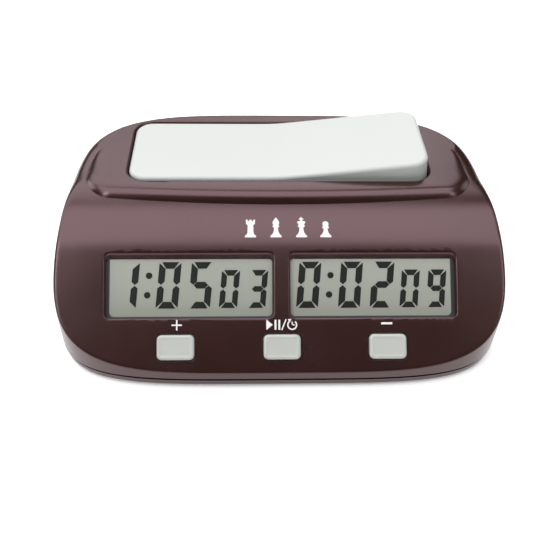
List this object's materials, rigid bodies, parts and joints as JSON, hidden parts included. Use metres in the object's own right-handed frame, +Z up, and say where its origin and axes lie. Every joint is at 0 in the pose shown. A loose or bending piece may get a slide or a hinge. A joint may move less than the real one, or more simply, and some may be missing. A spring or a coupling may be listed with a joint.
{
  "type": "digital chess clock",
  "caption": "Digital chess clock: low rounded case with a tipping rocker on the deck, paired displays and press keys on the sloping face.",
  "frame": {"origin": "on the table under the middle of the case's outline", "axes": "+Z up, +X to the user's right, -Y towards the user who reads the displays"},
  "size_m": [0.158, 0.103, 0.0554],
  "materials": {
    "case_plastic": "fine-textured burgundy ABS",
    "rocker_plastic": "smooth satin light grey ABS",
    "key_plastic": "satin grey moulded keys",
    "stem_plastic": "ivory acetal",
    "display": "reflective display with a satin polariser",
    "dark_plastic": "black moulded plastic",
    "circuit_board": "green solder mask on glass epoxy",
    "components": "ceramic and can components",
    "steel": "bright zinc-plated steel",
    "contact_steel": "nickel-plated spring steel",
    "rubber": "soft black rubber",
    "elastomer": "layered conductive silicone",
    "cell_wrap": "printed shrink sleeve",
    "wire": "PVC-insulated hook-up wire",
    "ribbon": "grey flat cable"
  },
  "bodies": {
    "case": {"top_shell": "case_plastic", "bottom_shell": "case_plastic", "case_screws": "steel", "foot_front_left": "rubber", "foot_front_right": "rubber", "foot_back_left": "rubber", "foot_back_right": "rubber", "battery_cell": "cell_wrap", "battery_plus_contact": "contact_steel", "battery_spring": "contact_steel", "battery_wires": "wire", "lcd_left": "display", "lcd_right": "display", "lcd_frame_left": "dark_plastic", "lcd_frame_right": "dark_plastic", "zebra_left": "elastomer", "zebra_right": "elastomer", "main_board": "circuit_board", "controller_chip": "dark_plastic", "crystal": "steel", "board_components": "components", "buzzer": "dark_plastic", "board_screws": "steel", "key_switches": "dark_plastic", "rocker_pin": "steel", "rocker_bumper_left": "rubber", "rocker_bumper_right": "rubber", "plunger_spring_left": "steel", "plunger_spring_right": "steel", "lever_board": "circuit_board", "lever_switches": "dark_plastic", "lever_board_screws": "steel", "lever_ribbon": "ribbon", "power_switch": "steel"},
    "rocker": {"rocker": "rocker_plastic"},
    "plunger_left": {"plunger_left": "stem_plastic"},
    "plunger_right": {"plunger_right": "stem_plastic"},
    "plus_key": {"plus_key": "key_plastic", "plus_key_stem": "stem_plastic"},
    "pause_key": {"pause_key": "key_plastic", "pause_key_stem": "stem_plastic"},
    "minus_key": {"minus_key": "key_plastic", "minus_key_stem": "stem_plastic"},
    "battery_door": {"battery_door": "case_plastic"},
    "power_knob": {"power_knob": "dark_plastic"}
  },
  "joints": [
    {"name": "rocker_tilt", "type": "hinge", "parent": "case", "child": "rocker", "pos_m": [0, 0.02295, 0.04283], "axis": [0, 1, 0], "range_deg": [0, 7]},
    {"name": "plunger_left_slide", "type": "slide", "parent": "case", "child": "plunger_left", "axis": [0, 0, 1], "range_m": [0, 0.00123], "deforming": ["plunger_spring_left"]},
    {"name": "plunger_right_slide", "type": "slide", "parent": "case", "child": "plunger_right", "axis": [0, 0, 1], "range_m": [-0.00123, 0], "deforming": ["plunger_spring_right"]},
    {"name": "plus_key_press", "type": "slide", "parent": "case", "child": "plus_key", "axis": [0, 0.6561, -0.7547], "range_m": [0, 0.0005], "stiffness_N_per_m": 400, "springref_m": -0.0003},
    {"name": "pause_key_press", "type": "slide", "parent": "case", "child": "pause_key", "axis": [0, 0.6561, -0.7547], "range_m": [0, 0.0005], "stiffness_N_per_m": 400, "springref_m": -0.0003},
    {"name": "minus_key_press", "type": "slide", "parent": "case", "child": "minus_key", "axis": [0, 0.6561, -0.7547], "range_m": [0, 0.0005], "stiffness_N_per_m": 400, "springref_m": -0.0003},
    {"name": "battery_door_open", "type": "hinge", "parent": "case", "child": "battery_door", "pos_m": [-0.03055, 0.02295, 0.0015], "axis": [0, 1, 0], "range_deg": [0, 75]},
    {"name": "power_slide", "type": "slide", "parent": "case", "child": "power_knob", "axis": [1, 0, 0], "range_m": [0, 0.003]}
  ],
  "couplings": [
    {"joint": "plunger_left_slide", "follows": "rocker_tilt", "m_per_rad": 0.009994},
    {"joint": "plunger_right_slide", "follows": "rocker_tilt", "m_per_rad": -0.009994}
  ]
}
